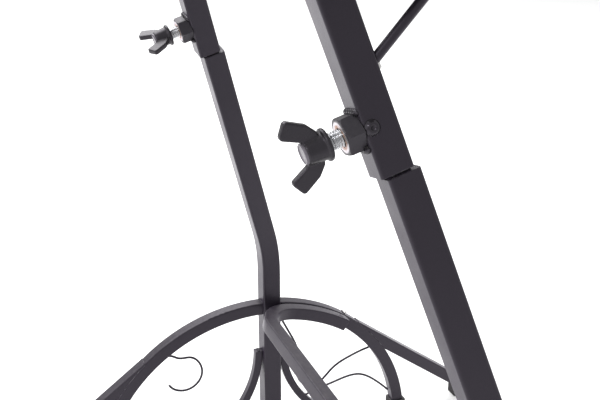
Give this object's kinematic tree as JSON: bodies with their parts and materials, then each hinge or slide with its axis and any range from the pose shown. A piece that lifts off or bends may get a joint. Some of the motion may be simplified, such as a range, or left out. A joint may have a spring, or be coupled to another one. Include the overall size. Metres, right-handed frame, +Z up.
{
  "type": "music stand",
  "caption": "Free-standing metal music stand with an arched scrollwork base, leaning clamped legs, an open lyre desk, a deep ledge and swinging page arms.",
  "frame": {"origin": "centre of the footprint on the floor", "axes": "+Z up, -Y towards the player, +X to the player's right"},
  "size_m": [0.4758, 0.5708, 0.8729],
  "materials": {
    "powder_coat": "satin black powder coat, fine grain",
    "nut_steel": "black flanks, bare machined outer face",
    "zinc": "bright zinc-plated thread",
    "wing_black": "satin black",
    "rivet_steel": "satin black",
    "cap_plastic": "matte black",
    "vinyl": "soft matte sleeve",
    "rubber": "matte rubber"
  },
  "bodies": {
    "frame": {"arch_back_left": "powder_coat", "arch_back_right": "powder_coat", "arch_feet": "rubber", "arch_front_left": "powder_coat", "arch_front_right": "powder_coat", "arch_scrolls_left": "powder_coat", "arch_scrolls_right": "powder_coat", "arm_pin_left": "rivet_steel", "arm_pin_right": "rivet_steel", "desk_frame": "powder_coat", "foot_bar_back_left": "powder_coat", "foot_bar_back_right": "powder_coat", "foot_bar_feet": "rubber", "foot_bar_front_left": "powder_coat", "foot_bar_front_right": "powder_coat", "ledge": "powder_coat", "ledge_brace_left": "powder_coat", "ledge_brace_right": "powder_coat", "leg_feet": "rubber", "leg_flares_left": "powder_coat", "leg_flares_right": "powder_coat", "lower_leg_left": "powder_coat", "lower_leg_right": "powder_coat", "lyre_scrolls": "powder_coat", "lyre_strings": "powder_coat", "lyre_yoke": "powder_coat", "plug_welds": "powder_coat", "side_scrolls": "powder_coat", "spigot_left": "powder_coat", "spigot_right": "powder_coat", "stretcher": "powder_coat", "top_scrolls": "powder_coat", "top_tie": "powder_coat", "tube_cap_left": "cap_plastic", "tube_cap_right": "cap_plastic", "upper_leg_left": "powder_coat", "upper_leg_right": "powder_coat", "weld_nut_left": "nut_steel", "weld_nut_right": "nut_steel"},
    "wing_bolt_left": {"bolt_screw_left": "zinc", "bolt_wings_left": "wing_black"},
    "wing_bolt_right": {"bolt_screw_right": "zinc", "bolt_wings_right": "wing_black"},
    "page_arm_left_body": {"page_arm_left": "rivet_steel", "arm_sleeve_left": "vinyl"},
    "page_arm_right_body": {"page_arm_right": "rivet_steel", "arm_sleeve_right": "vinyl"}
  },
  "joints": [
    {"name": "wing_bolt_left_turn", "type": "hinge", "parent": "frame", "child": "wing_bolt_left", "pos_m": [-0.16666, 0.07113, 0.46825], "axis": [0, 0.9548, -0.2974], "range_deg": [-90, 540]},
    {"name": "wing_bolt_right_turn", "type": "hinge", "parent": "frame", "child": "wing_bolt_right", "pos_m": [0.16666, 0.07113, 0.46825], "axis": [0, 0.9548, -0.2974], "range_deg": [-90, 540]},
    {"name": "page_arm_left_swing", "type": "hinge", "parent": "frame", "child": "page_arm_left_body", "pos_m": [-0.15, 0.07093, 0.5769], "axis": [0, -0.9548, 0.2974], "range_deg": [-90, 90]},
    {"name": "page_arm_right_swing", "type": "hinge", "parent": "frame", "child": "page_arm_right_body", "pos_m": [0.15, 0.07093, 0.5769], "axis": [0, -0.9548, 0.2974], "range_deg": [-90, 90]}
  ]
}
